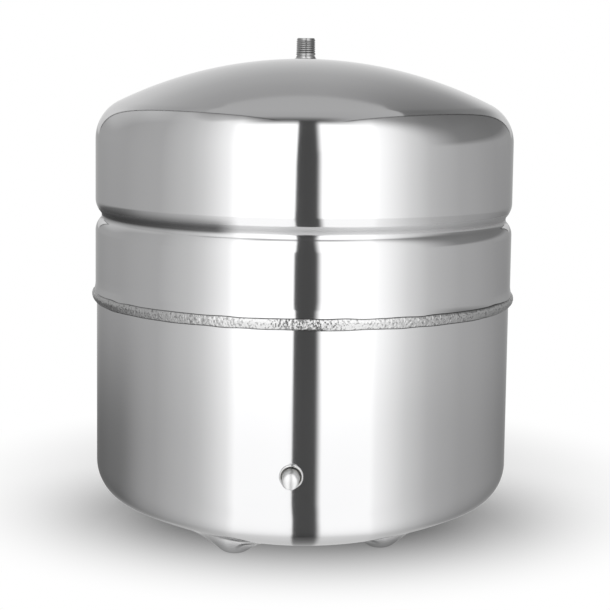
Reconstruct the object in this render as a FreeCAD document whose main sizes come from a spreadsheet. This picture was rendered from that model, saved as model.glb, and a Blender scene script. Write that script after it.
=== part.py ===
import FreeCAD, Part
import math
import os
import re

import Sketcher

# A stainless steel reverse osmosis tank of the 11 inch class, in millimetres, +Z up.
# The floor under the feet is at height 0. Radii are measured from the tank's axis, which
# stands a little behind the origin, so that the origin is under the middle of the whole part.
# The air valve faces -Y and the water nipple stands on top of the dome.

SIZES = {
    # upper shell: a drawn head of standard crown and knuckle radii on a straight skirt
    "tank_diameter": 280.0,
    "shell_wall": 0.8,
    "crown_radius": 280.0,
    "knuckle_radius": 28.0,
    "dome_height": 328.7,
    # the rolled clench groove under the shoulder, which locks the diaphragm
    "groove_height": 223.7,
    "groove_depth": 4.1,
    "groove_valley_radius": 4.0,
    "groove_upper_radius": 13.0,
    "groove_lower_radius": 11.0,
    # the lap joint: the upper skirt flares over the lower shell and a bead closes its edge
    "weld_height": 169.4,
    "skirt_edge_rise": 1.2,
    "flare_length": 8.0,
    "flare_out": 1.8,
    "lap_length": 14.0,
    "bead_width": 6.2,
    "bead_proud": 2.4,
    "bead_edge_radius": 1.4,
    # lower shell: the same head upside down, on pressed feet
    "bowl_clearance": 4.1,
    "foot_count": 3,
    "foot_circle_radius": 58.0,
    "foot_turn": 103.3,
    "foot_flat_radius": 5.2,
    "foot_root_radius": 18.5,
    "foot_sink": 2.46,
    "foot_edge_radius": 4.0,
    "foot_blend_radius": 8.0,
    # water side: liner, diaphragm and the hoop that clamps them in the groove
    "sheet_gap": 0.1,
    "liner_wall": 1.6,
    "diaphragm_wall": 2.0,
    "diaphragm_drop": 4.0,
    "diaphragm_pad_radius": 16.0,
    "rim_length": 16.0,
    "hoop_wall": 1.2,
    "hoop_half_height": 14.0,
    # water nipple, a turned quarter inch taper pipe thread blank with an inner flange
    "nipple_rise": 13.7,
    "nipple_thread_radius": 6.63,
    "nipple_thread_start": 2.9,
    "nipple_thread_length": 9.3,
    "nipple_mouth_radius": 5.8,
    "nipple_collar_radius": 6.9,
    "nipple_bore_radius": 3.75,
    "nipple_bore_chamfer": 0.5,
    "nipple_flange_radius": 13.0,
    "nipple_flange_thickness": 2.5,
    "nipple_seat_gap": 0.35,
    "liner_seal_radius": 9.3,
    "liner_seal_section": 1.7,
    "seal_groove_width": 2.6,
    "seal_squeeze": 0.1,
    "nipple_weld_width": 1.3,
    "nipple_weld_rise": 1.1,
    # air valve: welded boss, screwed stem, sprung core and screw cap
    "valve_height": 75.0,
    "boss_shank_radius": 6.4,
    "boss_depth": 7.0,
    "boss_flange_radius": 7.5,
    "boss_rise": 1.6,
    "boss_recess_radius": 6.0,
    "boss_floor_rise": 0.2,
    "stem_shank_radius": 4.15,
    "stem_inner_length": 9.0,
    "stem_shoulder_radius": 5.4,
    "stem_shoulder_thickness": 1.8,
    "stem_thread_radius": 3.85,
    "stem_thread_length": 10.2,
    "stem_thread_chamfer": 0.6,
    "stem_seal_thickness": 0.9,
    "core_seat_length": 6.5,
    "core_taper_length": 1.5,
    "stem_bore_radius": 2.15,
    "swivel_radius": 2.55,
    "swivel_sink": 0.9,
    "swivel_length": 4.3,
    "swivel_bore_radius": 1.0,
    "barrel_radius": 1.75,
    "barrel_bore_radius": 1.3,
    "barrel_length": 6.7,
    "barrel_end_thickness": 1.0,
    "gasket_length": 1.3,
    "pin_radius": 0.45,
    "pin_sink": 0.4,
    "pin_passage_gap": 0.3,
    "pin_collar_radius": 1.15,
    "pin_collar_thickness": 0.6,
    "pin_collar_rise": 4.2,
    "pin_head_radius": 1.5,
    "pin_head_thickness": 0.8,
    "seat_washer_radius": 1.85,
    "seat_washer_thickness": 0.9,
    "spring_radius": 0.88,
    "spring_wire_radius": 0.14,
    "spring_pitch": 0.66,
    "cap_radius": 4.75,
    "cap_end_thickness": 1.7,
    "cap_edge_radius": 1.5,
    "cap_gasket_thickness": 0.7,
    "cap_gasket_bore_radius": 1.2,
    # clearances: between pieces screwed or slid together, between pieces that bear on each
    # other, and between pieces that move past each other
    "fit_gap": 0.1,
    "touch_gap": 0.05,
    "running_gap": 0.3,
}

# angles in degrees
QUARTER_TURN = 90
HALF_TURN = 180
FULL_TURN = 360

os.makedirs("parts", exist_ok=True)
doc = FreeCAD.newDocument("reverse_osmosis_tank")
sheet = doc.addObject("Spreadsheet::Sheet", "sizes")
for row, (name, value) in enumerate(SIZES.items(), start=1):
    sheet.set(f"A{row}", name)
    sheet.set(f"B{row}", str(value))
    sheet.setAlias(f"B{row}", name)
doc.recompute()

# Depths under the shell's outer face, as the sizes that add up to each of them.
SHELL_FACE = ()
SHELL_BACK = ("shell_wall",)
LINER_FACE = SHELL_BACK + ("sheet_gap",)
LINER_BACK = LINER_FACE + ("liner_wall",)
DIAPHRAGM_FACE = LINER_BACK + ("sheet_gap",)
DIAPHRAGM_BACK = DIAPHRAGM_FACE + ("diaphragm_wall",)
HOOP_FACE = DIAPHRAGM_BACK + ("sheet_gap",)
HOOP_BACK = HOOP_FACE + ("hoop_wall",)


def total(names):
    """The sum of some sizes, as an expression."""
    return "(" + (" + ".join(names) or "0") + ")"


# Lengths that several pieces share, written once in terms of the sheet's names.
SKIRT_RADIUS = "(tank_diameter / 2)"
LOWER_RADIUS = f"({SKIRT_RADIUS} - {total(LINER_FACE)})"
RIM_END = "(groove_height - rim_length)"
SKIRT_END = "(weld_height + skirt_edge_rise)"
NIPPLE_HOLE = "(nipple_collar_radius + fit_gap)"
# a foot's cone ends a little inside the bowl: its height and its flank's slope
FOOT_SPREAD = "(foot_circle_radius + foot_root_radius)"
FOOT_REACH = f"(bowl_clearance + {FOOT_SPREAD}^2 / (2 * crown_radius) + foot_sink)"
FOOT_FLANK = f"atan({FOOT_REACH} / (foot_root_radius - foot_flat_radius))"
# depths of the nipple flange's two faces under the top of the dome
FLANGE_FACE = f"({total(LINER_BACK)} + nipple_seat_gap)"
FLANGE_BACK = f"({FLANGE_FACE} + nipple_flange_thickness)"
# places along the valve's axis, counted outwards from the lower shell's outer face
SHOULDER_BACK = "(boss_floor_rise + stem_seal_thickness + 2 * touch_gap)"
SHOULDER_FRONT = f"({SHOULDER_BACK} + stem_shoulder_thickness)"
STEM_MOUTH = f"({SHOULDER_FRONT} + stem_thread_length)"
CAP_FLOOR = f"({STEM_MOUTH} + running_gap + cap_gasket_thickness + fit_gap)"
CAP_END = f"({CAP_FLOOR} + cap_end_thickness)"
# how far the tank's axis stands behind the origin
AXIS_SHIFT = f"(({LOWER_RADIUS} + {CAP_END} - {SKIRT_RADIUS} - bead_proud) / 2)"


def size(name):
    """The sheet's value of one size."""
    return float(sheet.get(name))


def sheet_word(found):
    """A size's name as an expression reads it. Other words, such as functions, stay."""
    word = found.group()
    return f"sizes.{word}" if word in SIZES else word


def drive(thing, place, text):
    """Bind one property of an object to the sheet, through a text of sizes."""
    thing.setExpression(place, re.sub(r"[a-z][a-z_]+", sheet_word, text))


def origin_part(body, role):
    """A body's own origin plane or axis."""
    return next(part for part in body.Origin.OriginFeatures if part.Role == role)


def new_body(label):
    """An empty body. Its name, its label and its file's name are the same."""
    body = doc.addObject("PartDesign::Body", label)
    body.Label = label
    return body


def upright_sketch(body, name):
    """A sketch on the body's XZ plane: its x is the radius and its y is the height."""
    sketch = body.newObject("Sketcher::SketchObject", name)
    sketch.AttachmentSupport = [(origin_part(body, "XZ_Plane"), "")]
    sketch.MapMode = "FlatFace"
    return sketch


def arc(centre_x, centre_y, radius, start, end):
    """An arc drawn counter-clockwise between two angles in degrees."""
    circle = Part.Circle(FreeCAD.Vector(centre_x, centre_y, 0), FreeCAD.Vector(0, 0, 1), radius)
    return Part.ArcOfCircle(circle, math.radians(start), math.radians(end))


def line(x1, y1, x2, y2):
    return Part.LineSegment(FreeCAD.Vector(x1, y1, 0), FreeCAD.Vector(x2, y2, 0))


def hold(sketch, kind, *places):
    """Add one constraint that has no dimension."""
    sketch.addConstraint(Sketcher.Constraint(kind, *places))


def drawn_value(sketch, kind, places):
    """What a new dimension measures on the sketch as it is drawn so far."""
    if kind == "Radius":
        return sketch.Geometry[places[0]].Radius
    point = sketch.getPoint(*places[-2:])
    return point.x if kind == "DistanceX" else point.y


def measure(sketch, kind, *places, text):
    """Add one dimension and bind it to the sheet."""
    start = drawn_value(sketch, kind, places)
    row = sketch.addConstraint(Sketcher.Constraint(kind, *places, start))
    drive(sketch, f"Constraints[{row}]", text)


def place_point(sketch, edge, end, radius, height):
    """Hold one end of an edge at a radius from the axis and a height over the origin."""
    if radius == "0":
        hold(sketch, "PointOnObject", edge, end, -2)
    else:
        measure(sketch, "DistanceX", -1, 1, edge, end, text=radius)
    if height == "0":
        hold(sketch, "PointOnObject", edge, end, -1)
    else:
        measure(sketch, "DistanceY", -1, 1, edge, end, text=height)


def straight_outline(sketch, corners):
    """A closed outline of straight edges through corners given as (radius, height)."""
    count = len(corners)
    turns = [2 * math.pi * n / count for n in range(count)]
    ring = [(2 + math.cos(turn), 2 + math.sin(turn)) for turn in turns]
    for n in range(count):
        sketch.addGeometry(line(*ring[n], *ring[(n + 1) % count]), False)
    for n, (radius, height) in enumerate(corners):
        hold(sketch, "Coincident", (n - 1) % count, 2, n, 1)
        place_point(sketch, n, 1, radius, height)


def revolve(body, sketch, name):
    """Turn a sketch round its own height axis."""
    turned = body.newObject("PartDesign::Revolution", name)
    turned.Profile = sketch
    turned.ReferenceAxis = (sketch, ["V_Axis"])
    turned.Angle = FULL_TURN
    return turned


def turned_piece(label, corners):
    """A body turned from one closed outline of straight edges."""
    body = new_body(label)
    sketch = upright_sketch(body, f"{label}_outline")
    straight_outline(sketch, corners)
    revolve(body, sketch, f"{label}_turned")
    return body


def meeting_slope(depth, radii):
    """The slope in degrees where two arcs, whose radii add up to this, meet over a depth."""
    return math.degrees(math.acos(1 - depth / radii))


def knuckle_start(half_width, inset):
    """Where the knuckle arc's centre and its joint with the crown lie: its distance from
    the axis, its height over the crown's centre, and the joint's angle in degrees."""
    crown = size("crown_radius") - inset
    knuckle = size("knuckle_radius") - inset
    across = half_width - inset - knuckle
    lean = math.acos(across / (crown - knuckle))
    return across, (crown - knuckle) * math.sin(lean), math.degrees(lean)


def head_chain(sketch, names, hole, drop):
    """The head's crown and knuckle arcs at a depth under the shell's face.

    The crown's second end is at the hole, or on the axis where the hole is "0", and the
    knuckle's first end is where the skirt begins. Returns both edges.
    """
    inset = sum(size(name) for name in names)
    lowered = size(drop) if drop != "0" else 0.0
    centre = size("dome_height") - size("crown_radius") - lowered
    across, rise, lean = knuckle_start(size("tank_diameter") / 2, inset)
    crown = sketch.addGeometry(arc(0, centre, size("crown_radius") - inset, lean, QUARTER_TURN - 1), False)
    height = centre + rise
    knuckle = sketch.addGeometry(arc(across, height, size("knuckle_radius") - inset, 0, lean), False)
    hold(sketch, "PointOnObject", crown, 3, -2)
    measure(sketch, "DistanceY", -1, 1, crown, 3, text=f"dome_height - crown_radius - {drop}")
    measure(sketch, "Radius", crown, text=f"crown_radius - {total(names)}")
    measure(sketch, "Radius", knuckle, text=f"knuckle_radius - {total(names)}")
    hold(sketch, "Tangent", crown, 1, knuckle, 2)
    if hole == "0":
        hold(sketch, "PointOnObject", crown, 2, -2)
    else:
        measure(sketch, "DistanceX", -1, 1, crown, 2, text=hole)
    return crown, knuckle


def groove_chain(sketch, names):
    """The straight skirt with the clench groove in it, at a depth under the shell's face.

    The groove is three tangent arcs: an upper shoulder, a valley and a lower shoulder.
    Every depth shares their centres, so nested pieces keep one gap all over. Returns the
    skirt's upper line, whose first end is free, and its lower line, whose second end is.
    """
    inset = sum(size(name) for name in names)
    half = size("tank_diameter") / 2
    level = size("groove_height")
    upper = size("groove_upper_radius")
    lower = size("groove_lower_radius")
    valley = size("groove_valley_radius")
    upper_slope = meeting_slope(size("groove_depth"), upper + valley)
    lower_slope = meeting_slope(size("groove_depth"), lower + valley)
    upper_level = level + (upper + valley) * math.sin(math.radians(upper_slope))
    lower_level = level - (lower + valley) * math.sin(math.radians(lower_slope))
    wall = half - inset
    centre = half - size("groove_depth") + valley
    shapes = [
        line(wall, upper_level + 5, wall, upper_level),
        arc(half - upper, upper_level, upper - inset, -upper_slope, 0),
        arc(centre, level, valley + inset, HALF_TURN - upper_slope, HALF_TURN + lower_slope),
        arc(half - lower, lower_level, lower - inset, 0, lower_slope),
        line(wall, lower_level, wall, lower_level - 5),
    ]
    top, shoulder, dip, rest, bottom = [sketch.addGeometry(shape, False) for shape in shapes]
    hold(sketch, "Vertical", top)
    hold(sketch, "Vertical", bottom)
    hold(sketch, "Tangent", top, 2, shoulder, 2)
    hold(sketch, "Tangent", shoulder, 1, dip, 1)
    hold(sketch, "Tangent", dip, 2, rest, 2)
    hold(sketch, "Tangent", rest, 1, bottom, 1)
    for edge in (top, bottom):
        text = f"{SKIRT_RADIUS} - {total(names)}"
        measure(sketch, "DistanceX", -1, 1, edge, 1, text=text)
    for edge, radius in ((shoulder, "groove_upper_radius"), (rest, "groove_lower_radius")):
        measure(sketch, "Radius", edge, text=f"{radius} - {total(names)}")
    measure(sketch, "Radius", dip, text=f"groove_valley_radius + {total(names)}")
    reach = f"{SKIRT_RADIUS} - groove_depth + groove_valley_radius"
    place_point(sketch, dip, 3, reach, "groove_height")
    return top, bottom


def close_gap(sketch, edge, end, other, other_end):
    """A straight edge from one free end to another."""
    start = sketch.getPoint(edge, end)
    finish = sketch.getPoint(other, other_end)
    joint = sketch.addGeometry(line(start.x, start.y, finish.x, finish.y), False)
    hold(sketch, "Coincident", edge, end, joint, 1)
    hold(sketch, "Coincident", joint, 2, other, other_end)
    return joint


def lined_wall(label, face, back, bottom, hole="0", drop="0"):
    """A drawn or moulded dome: head, clench groove and skirt between two depths."""
    body = new_body(label)
    sketch = upright_sketch(body, f"{label}_section")
    starts = []
    ends = []
    for names in (face, back):
        crown, knuckle = head_chain(sketch, names, hole, drop)
        top, skirt = groove_chain(sketch, names)
        hold(sketch, "Tangent", knuckle, 1, top, 1)
        measure(sketch, "DistanceY", -1, 1, skirt, 2, text=bottom)
        starts.append(crown)
        ends.append(skirt)
    close_gap(sketch, starts[0], 2, starts[1], 2)
    close_gap(sketch, ends[0], 2, ends[1], 2)
    return body, sketch


def upper_shell():
    """The drawn dome and skirt. Its edge flares out over the lower shell, as a lap joint."""
    body = new_body("upper_shell")
    sketch = upright_sketch(body, "upper_shell_section")
    starts = []
    ends = []
    for names in (SHELL_FACE, SHELL_BACK):
        crown, knuckle = head_chain(sketch, names, NIPPLE_HOLE, "0")
        top, skirt = groove_chain(sketch, names)
        hold(sketch, "Tangent", knuckle, 1, top, 1)
        measure(sketch, "DistanceY", -1, 1, skirt, 2, text=f"{SKIRT_END} + flare_length")
        foot = sketch.getPoint(skirt, 2)
        flare = sketch.addGeometry(line(foot.x, foot.y, foot.x + 1, foot.y - 5), False)
        hold(sketch, "Coincident", skirt, 2, flare, 1)
        edge = f"{SKIRT_RADIUS} - {total(names)} + flare_out"
        place_point(sketch, flare, 2, edge, SKIRT_END)
        starts.append(crown)
        ends.append(flare)
    close_gap(sketch, starts[0], 2, starts[1], 2)
    close_gap(sketch, ends[0], 2, ends[1], 2)
    revolve(body, sketch, "upper_shell_drawn")
    place_upright(body, "0")
    return body



def place_upright(body, height):
    """Stand a piece on the tank's axis at a height over the floor."""
    body.Placement = FreeCAD.Placement()
    drive(body, "Placement.Base.y", AXIS_SHIFT)
    drive(body, "Placement.Base.z", height)


def place_on_valve(piece, station):
    """Lay a piece on the valve's axis, its own +Z outwards (-Y), starting at a station
    that counts outwards from the lower shell's outer face."""
    turn = FreeCAD.Rotation(FreeCAD.Vector(1, 0, 0), QUARTER_TURN)
    piece.Placement = FreeCAD.Placement(FreeCAD.Vector(0, 0, 0), turn)
    drive(piece, "Placement.Base.y", f"{AXIS_SHIFT} - {LOWER_RADIUS} - ({station})")
    drive(piece, "Placement.Base.z", "valve_height")


def edges_where(shape, test):
    """The names of the edges that pass a test."""
    return [f"Edge{n}" for n, edge in enumerate(shape.Edges, start=1) if test(edge)]


def soften(body, name, radius, test):
    """Round the edges of a body that pass a test."""
    doc.recompute()
    base = body.Tip
    chosen = edges_where(base.Shape, test)
    rounding = body.newObject("PartDesign::Fillet", name)
    rounding.Base = (base, chosen)
    drive(rounding, "Radius", radius)


def bowl_outline(body, names):
    """The lower shell's head, upside down, and its skirt, at a depth under its face."""
    sketch = upright_sketch(body, f"{body.Name}_outline")
    inset = sum(size(name) for name in names)
    half = size("tank_diameter") / 2 - sum(size(name) for name in LINER_FACE)
    across, rise, lean = knuckle_start(half, inset)
    centre = size("bowl_clearance") + size("crown_radius")
    level = centre - rise
    wall = half - inset
    top = size("weld_height") + size("lap_length")
    shapes = [
        arc(0, centre, size("crown_radius") - inset, -QUARTER_TURN, -lean),
        arc(across, level, size("knuckle_radius") - inset, -lean, 0),
        line(wall, level, wall, top),
        line(wall, top, 0, top),
        line(0, top, 0, size("bowl_clearance") + inset),
    ]
    crown, knuckle, skirt, rim, axis = [sketch.addGeometry(shape, False) for shape in shapes]
    hold(sketch, "PointOnObject", crown, 3, -2)
    hold(sketch, "Tangent", crown, 2, knuckle, 1)
    hold(sketch, "Tangent", knuckle, 2, skirt, 1)
    hold(sketch, "Coincident", skirt, 2, rim, 1)
    hold(sketch, "Coincident", rim, 2, axis, 1)
    hold(sketch, "Coincident", axis, 2, crown, 1)
    hold(sketch, "Vertical", skirt)
    hold(sketch, "Horizontal", rim)
    hold(sketch, "Vertical", axis)
    hold(sketch, "PointOnObject", axis, 1, -2)
    measure(sketch, "Radius", crown, text=f"crown_radius - {total(names)}")
    measure(sketch, "Radius", knuckle, text=f"knuckle_radius - {total(names)}")
    place_point(sketch, skirt, 2, f"{LOWER_RADIUS} - {total(names)}", "weld_height + lap_length")
    measure(sketch, "DistanceY", -1, 1, crown, 3, text="bowl_clearance + crown_radius")
    between = size("foot_turn") + HALF_TURN / size("foot_count")
    turn_sketch(sketch, between, f"foot_turn + {HALF_TURN} / foot_count")
    return sketch


def turn_sketch(sketch, degrees, text):
    """Turn an upright sketch round the tank's axis, from +X towards +Y."""
    turn = FreeCAD.Rotation(FreeCAD.Vector(0, 1, 0), degrees)
    sketch.AttachmentOffset = FreeCAD.Placement(FreeCAD.Vector(0, 0, 0), turn)
    drive(sketch, "AttachmentOffset.Rotation.Angle", text)


def foot_outline(body, names):
    """Half a pressed foot beside its own upright axis, at a depth under the shell's face.
    It is drawn square to the radius that the foot stands on."""
    outline = upright_sketch(body, f"{body.Name}_foot_outline")
    turn_sketch(outline, size("foot_turn") + QUARTER_TURN, f"foot_turn + {QUARTER_TURN}")
    drive(outline, "AttachmentOffset.Base.x", "foot_circle_radius * cos(foot_turn)")
    drive(outline, "AttachmentOffset.Base.z", "-foot_circle_radius * sin(foot_turn)")
    inset = total(names)
    floor = inset if names else "0"
    corners = [
        ("0", floor),
        (f"foot_flat_radius - {inset} * tan({FOOT_FLANK} / 2)", floor),
        (f"foot_root_radius - {inset} / sin({FOOT_FLANK})", FOOT_REACH),
        ("0", FOOT_REACH),
    ]
    straight_outline(outline, corners)
    return outline


def footed_form(label, names):
    """A solid bowl on feet: the lower shell's outer form, or its inner one."""
    body = new_body(label)
    revolve(body, bowl_outline(body, names), f"{label}_bowl")
    foot = revolve(body, foot_outline(body, names), f"{label}_foot")
    ring = body.newObject("PartDesign::PolarPattern", f"{label}_feet")
    ring.Originals = [foot]
    ring.Axis = (origin_part(body, "Z_Axis"), [""])
    ring.Angle = FULL_TURN
    drive(ring, "Occurrences", "foot_count")
    body.Tip = ring
    floor_level = size("bowl_clearance") / 2

    def stands_aside(edge):
        centre = edge.BoundBox.Center
        return edge.isClosed() and math.hypot(centre.x, centre.y) > size("foot_circle_radius") / 2

    def joins_bowl(edge):
        return stands_aside(edge) and edge.BoundBox.ZMin > floor_level

    def rings_flat(edge):
        return stands_aside(edge) and edge.BoundBox.ZMax < floor_level

    soften(body, f"{label}_blend", f"foot_blend_radius + {total(names)}", joins_bowl)
    soften(body, f"{label}_edge", f"foot_edge_radius - {total(names)}", rings_flat)
    return body


def lower_shell():
    """The drawn bottom shell, with its pressed feet and the hole for the valve's boss."""
    body = footed_form("lower_shell", ())
    hollow = body.newObject("PartDesign::Boolean", "lower_shell_hollow")
    hollow.Type = "Cut"
    hollow.setObjects([footed_form("lower_shell_inside", ("shell_wall",))])
    doc.recompute()
    before = body.Shape.Volume
    hole = upright_sketch(body, "valve_hole_outline")
    circle = Part.Circle(FreeCAD.Vector(0, size("valve_height"), 0), FreeCAD.Vector(0, 0, 1), 5)
    ring = hole.addGeometry(circle, False)
    hold(hole, "PointOnObject", ring, 3, -2)
    measure(hole, "DistanceY", -1, 1, ring, 3, text="valve_height")
    measure(hole, "Radius", ring, text="boss_shank_radius + fit_gap")
    opening = body.newObject("PartDesign::Pocket", "valve_hole")
    opening.Profile = hole
    opening.Reversed = True
    drive(opening, "Length", "tank_diameter")
    doc.recompute()
    if body.Shape.Volume >= before:
        raise ValueError("the valve's hole cuts nothing")
    place_upright(body, "0")
    return body


def girth_weld():
    """The bead that closes the lap: it fills under the skirt's edge and laps over it."""
    lower = f"{LOWER_RADIUS} + touch_gap"
    face = f"{SKIRT_RADIUS} + flare_out + touch_gap"
    top = "weld_height + bead_width / 2"
    crest = f"{SKIRT_RADIUS} + bead_proud"
    corners = [
        (lower, "weld_height - bead_width / 2"),
        (crest, "weld_height - bead_width / 6"),
        (crest, "weld_height + bead_width / 4"),
        (face, top),
        (face, f"{SKIRT_END} - touch_gap"),
        (lower, f"{SKIRT_END} - touch_gap"),
    ]
    body = turned_piece("girth_weld", corners)
    crest_radius = size("tank_diameter") / 2 + size("bead_proud")
    length = 2 * math.pi * crest_radius

    def rings_crest(edge):
        return abs(edge.Length - length) < 0.01

    soften(body, "girth_weld_crest", "bead_edge_radius", rings_crest)
    place_upright(body, "0")
    return body


def liner():
    """The moulded lining of the water side. Its rim reaches under the clench groove."""
    body, sketch = lined_wall("liner", LINER_FACE, LINER_BACK, RIM_END, hole=NIPPLE_HOLE)
    revolve(body, sketch, "liner_moulded")
    place_upright(body, "0")
    return body


def diaphragm():
    """The rubber diaphragm, pressed up by the air charge, with a pad under the outlet."""
    names = (DIAPHRAGM_FACE, DIAPHRAGM_BACK)
    body, sketch = lined_wall("diaphragm", *names, RIM_END, drop="diaphragm_drop")
    revolve(body, sketch, "diaphragm_moulded")
    pad = upright_sketch(body, "diaphragm_pad_outline")
    middle = f"{total(DIAPHRAGM_FACE)} + diaphragm_wall / 2"
    base = f"dome_height - diaphragm_drop - ({middle})"
    face = f"dome_height - {FLANGE_BACK} - running_gap"
    corners = [("0", base), ("diaphragm_pad_radius", base), ("diaphragm_pad_radius", face), ("0", face)]
    straight_outline(pad, corners)
    revolve(body, pad, "diaphragm_pad")
    place_upright(body, "0")
    return body


def clench_ring():
    """The steel hoop that nests in the groove and clamps the diaphragm on the liner."""
    body = new_body("clench_ring")
    sketch = upright_sketch(body, "clench_ring_section")
    starts = []
    ends = []
    for names in (HOOP_FACE, HOOP_BACK):
        top, skirt = groove_chain(sketch, names)
        measure(sketch, "DistanceY", -1, 1, top, 1, text="groove_height + hoop_half_height")
        measure(sketch, "DistanceY", -1, 1, skirt, 2, text="groove_height - hoop_half_height")
        starts.append(top)
        ends.append(skirt)
    close_gap(sketch, starts[0], 1, starts[1], 1)
    close_gap(sketch, ends[0], 2, ends[1], 2)
    revolve(body, sketch, "clench_ring_rolled")
    place_upright(body, "0")
    return body


def water_nipple():
    """A turned nipple: flange with a seal groove, plain collar, thread blank, through bore."""
    flange = "nipple_flange_thickness"
    inner = "liner_seal_radius - seal_groove_width / 2"
    outer = "liner_seal_radius + seal_groove_width / 2"
    groove = f"{flange} - liner_seal_section + seal_squeeze"
    collar_top = f"{FLANGE_BACK} + nipple_thread_start"
    thread_top = f"{collar_top} + nipple_thread_length"
    mouth = f"{FLANGE_BACK} + nipple_rise"
    corners = [
        ("nipple_bore_radius", "0"),
        ("nipple_flange_radius", "0"),
        ("nipple_flange_radius", flange),
        (outer, flange),
        (outer, groove),
        (inner, groove),
        (inner, flange),
        ("nipple_collar_radius", flange),
        ("nipple_collar_radius", collar_top),
        ("nipple_thread_radius", collar_top),
        ("nipple_thread_radius", thread_top),
        ("nipple_mouth_radius", mouth),
        ("nipple_bore_radius + nipple_bore_chamfer", mouth),
        ("nipple_bore_radius", f"{mouth} - nipple_bore_chamfer"),
    ]
    body = turned_piece("water_nipple", corners)
    place_upright(body, f"dome_height - {FLANGE_BACK}")
    return body


def nipple_weld():
    """The small fillet of weld round the nipple, on the dome."""
    inner = "nipple_collar_radius + touch_gap"
    corners = [
        (inner, "0"),
        (f"{inner} + nipple_weld_width", "0"),
        (f"{inner} + nipple_weld_width / 2", "nipple_weld_rise / 2"),
        (inner, "nipple_weld_rise"),
    ]
    body = turned_piece("nipple_weld", corners)
    place_upright(body, "dome_height - touch_gap")
    return body


def ring_seal(label, ring_radius, section):
    """A round-section rubber ring, lying flat on its own XY plane."""
    ring = doc.addObject("Part::Torus", label)
    ring.Label = label
    drive(ring, "Radius1", ring_radius)
    drive(ring, "Radius2", f"{section} / 2")
    return ring


def liner_seal():
    """The ring in the nipple's flange, squeezed under the liner."""
    ring = ring_seal("liner_seal", "liner_seal_radius", "liner_seal_section")
    lift = "nipple_flange_thickness - liner_seal_section / 2 + seal_squeeze + touch_gap / 2"
    place_upright(ring, f"dome_height - {FLANGE_BACK} + {lift}")
    return ring


def valve_boss():
    """The welded boss: a shank through the shell, and a round rim with a recess in it."""
    face = "boss_depth + touch_gap"
    rim = "boss_depth + boss_rise"
    recess = "boss_depth + boss_floor_rise"
    bore = "stem_shank_radius + fit_gap"
    corners = [
        (bore, "0"),
        ("boss_shank_radius", "0"),
        ("boss_shank_radius", face),
        ("boss_flange_radius", face),
        ("boss_flange_radius", rim),
        ("boss_recess_radius", rim),
        ("boss_recess_radius", recess),
        (bore, recess),
    ]
    body = turned_piece("valve_boss", corners)
    place_on_valve(body, "-boss_depth")
    return body


def valve_stem():
    """The valve's body: shank, shoulder and threaded neck, bored for the core."""
    shoulder = f"stem_inner_length + {SHOULDER_BACK}"
    front = f"stem_inner_length + {SHOULDER_FRONT}"
    mouth = f"stem_inner_length + {STEM_MOUTH}"
    seat = f"{mouth} - core_seat_length"
    corners = [
        ("stem_bore_radius", "0"),
        ("stem_shank_radius", "0"),
        ("stem_shank_radius", shoulder),
        ("stem_shoulder_radius", shoulder),
        ("stem_shoulder_radius", front),
        ("stem_thread_radius", front),
        ("stem_thread_radius", f"{mouth} - stem_thread_chamfer"),
        ("stem_thread_radius - stem_thread_chamfer", mouth),
        ("swivel_radius + fit_gap", mouth),
        ("swivel_radius + fit_gap", seat),
        ("stem_bore_radius", f"{seat} - core_taper_length"),
    ]
    body = turned_piece("valve_stem", corners)
    place_on_valve(body, "-stem_inner_length")
    return body


def flat_ring(label, bore, rim, thickness, station):
    """A flat ring on the valve's axis, such as a washer or a gasket."""
    corners = [(bore, "0"), (rim, "0"), (rim, thickness), (bore, thickness)]
    body = turned_piece(label, corners)
    place_on_valve(body, station)
    return body


def stem_seal():
    """The rubber ring between the stem's shoulder and the boss."""
    bore = "stem_shank_radius + fit_gap"
    station = "boss_floor_rise + touch_gap"
    return flat_ring("stem_seal", bore, "stem_shoulder_radius", "stem_seal_thickness", station)


SWIVEL_BACK = f"({STEM_MOUTH} - swivel_sink - swivel_length)"
BARREL_FRONT = f"({SWIVEL_BACK} - touch_gap)"
BARREL_BACK = f"({BARREL_FRONT} - barrel_length)"
PIN_COLLAR_BACK = f"({BARREL_BACK} + barrel_end_thickness + pin_collar_rise)"
WASHER_FRONT = f"({BARREL_BACK} - running_gap)"
PIN_HEAD_FRONT = f"({WASHER_FRONT} - seat_washer_thickness - touch_gap)"
PIN_BACK = f"({PIN_HEAD_FRONT} - pin_head_thickness)"


def core_swivel():
    """The core's threaded plug, which holds the barrel down in the stem."""
    station = f"{SWIVEL_BACK}"
    return flat_ring("core_swivel", "swivel_bore_radius", "swivel_radius", "swivel_length", station)


def core_barrel():
    """The core's barrel: a spring chamber with an end wall that the pin passes through."""
    passage = "pin_radius + pin_passage_gap"
    corners = [
        (passage, "0"),
        ("barrel_radius", "0"),
        ("barrel_radius", "barrel_length"),
        ("barrel_bore_radius", "barrel_length"),
        ("barrel_bore_radius", "barrel_end_thickness"),
        (passage, "barrel_end_thickness"),
    ]
    body = turned_piece("core_barrel", corners)
    place_on_valve(body, BARREL_BACK)
    return body


def core_gasket():
    """The tapered ring round the barrel, seated on the cone inside the stem."""
    slope = "(swivel_radius + fit_gap - stem_bore_radius) / core_taper_length"
    bore = "barrel_radius + touch_gap"
    small = "stem_bore_radius - touch_gap"
    corners = [
        (bore, "0"),
        (small, "0"),
        (f"{small} + {slope} * gasket_length", "gasket_length"),
        (bore, "gasket_length"),
    ]
    body = turned_piece("core_gasket", corners)
    place_on_valve(body, f"{STEM_MOUTH} - core_seat_length - core_taper_length")
    return body


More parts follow.
